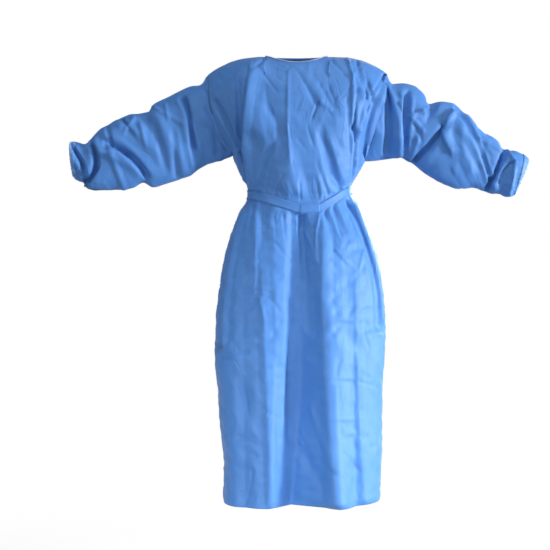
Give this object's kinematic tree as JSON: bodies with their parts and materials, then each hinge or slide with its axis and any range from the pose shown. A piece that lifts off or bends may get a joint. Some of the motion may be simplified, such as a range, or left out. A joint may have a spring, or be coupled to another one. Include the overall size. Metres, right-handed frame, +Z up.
{
  "type": "isolation gown",
  "caption": "Long-sleeved blue nonwoven isolation gown, hollow as worn with the arms held out, belted at the waist and lapped at the back.",
  "frame": {"origin": "middle of the neck opening at shoulder level, where the wearer holds the gown up", "axes": "+Z up, the front of the gown faces -Y, +X to the right as seen from the front"},
  "size_m": [1.275, 0.3347, 1.2359],
  "materials": {
    "nonwoven_cloth": "matt nonwoven with a slight sheen",
    "belt_cloth": "the same cloth, doubled and stitched",
    "elastic_edge": "gathered and overlocked, with pale thread"
  },
  "bodies": {
    "root": {"front": "nonwoven_cloth", "back_left": "nonwoven_cloth", "back_right": "nonwoven_cloth", "sleeve_left": "nonwoven_cloth", "sleeve_right": "nonwoven_cloth", "belt_left": "belt_cloth", "belt_right": "belt_cloth", "belt_patch": "belt_cloth", "belt_knot": "belt_cloth", "belt_tail_1": "belt_cloth", "belt_tail_2": "belt_cloth", "neck_binding": "belt_cloth", "neck_tab": "belt_cloth", "cuff_left": "elastic_edge", "cuff_right": "elastic_edge"}
  },
  "joints": []
}
